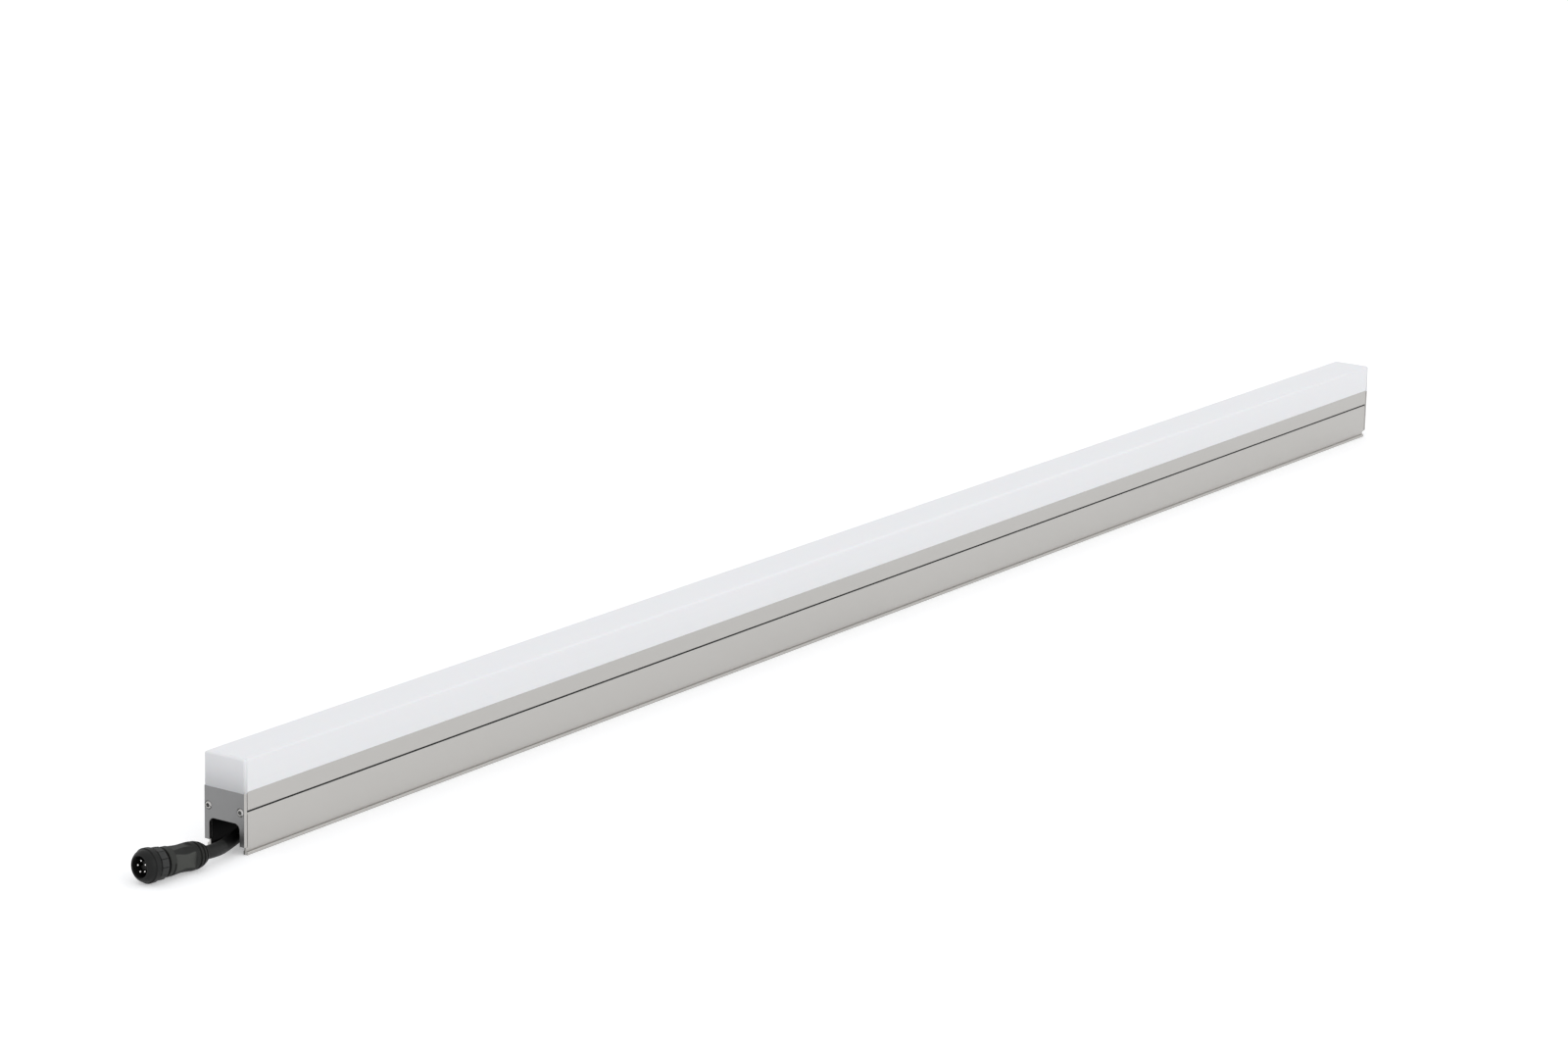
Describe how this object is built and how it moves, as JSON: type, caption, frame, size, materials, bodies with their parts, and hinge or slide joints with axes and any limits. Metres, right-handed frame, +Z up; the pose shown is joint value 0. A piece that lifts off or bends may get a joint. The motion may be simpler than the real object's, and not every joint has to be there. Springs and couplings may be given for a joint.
{
  "type": "linear wall washer light",
  "caption": "Slim linear outdoor wall washer: aluminium channel bar with an opal cover, screwed end plates and a short lead with a round coupling plug.",
  "frame": {"origin": "bottom centre of the bar, midway between its two feet, on the surface it rests on", "axes": "+X along the bar away from the end with the plug, +Z up through the opal cover, +Y across the bar to its left"},
  "size_m": [1.0555, 0.0223, 0.042],
  "materials": {
    "aluminium_body": "satin anodised extrusion",
    "end_plate": "matt anodised plate",
    "opal_cover": "opal, light-diffusing polycarbonate",
    "gasket_rubber": "dark silicone rubber",
    "seal_rubber": "black rubber ring",
    "screw_steel": "stainless steel",
    "black_nylon": "black moulded nylon",
    "tape": "pale heat-conducting tape",
    "connector": "ivory moulded connector",
    "core_insulation": "coloured wire insulation",
    "cable_jacket": "black satin cable jacket",
    "plug_moulding": "dark grey-black moulding",
    "pin_carrier": "black insulating insert",
    "contact_pin": "tin-plated brass",
    "circuit_board": "white solder mask on a metal core",
    "light_package": "white package with a clear window",
    "chip": "black package"
  },
  "bodies": {
    "light": {"housing": "aluminium_body", "diffuser": "opal_cover", "near_end_cap": "opal_cover", "near_end_plate": "end_plate", "near_gasket": "gasket_rubber", "near_plate_screws": "screw_steel", "near_cable_outlet": "black_nylon", "near_outlet_washer": "gasket_rubber", "near_outlet_nut": "black_nylon", "far_end_cap": "opal_cover", "far_end_plate": "end_plate", "far_gasket": "gasket_rubber", "far_plate_screws": "screw_steel", "far_cable_outlet": "black_nylon", "far_outlet_washer": "gasket_rubber", "far_outlet_nut": "black_nylon", "thermal_tape": "tape", "board_links": "connector", "lead_cores": "core_insulation", "light_board_1": "circuit_board", "leds_1": "light_package", "control_chips_1": "chip", "light_board_2": "circuit_board", "leds_2": "light_package", "control_chips_2": "chip", "light_board_3": "circuit_board", "leds_3": "light_package", "control_chips_3": "chip", "light_board_4": "circuit_board", "leds_4": "light_package", "control_chips_4": "chip", "lead": "cable_jacket", "plug_body": "plug_moulding", "plug_insert": "pin_carrier", "plug_pins": "contact_pin", "plug_seal": "seal_rubber"},
    "coupling": {"coupling_nut": "plug_moulding"}
  },
  "joints": [
    {"name": "coupling_turn", "type": "hinge", "parent": "light", "child": "coupling", "pos_m": [-0.5544, -0.0018, 0.00777], "axis": [0.9909, -0.1217, -0.0576], "continuous": true}
  ]
}
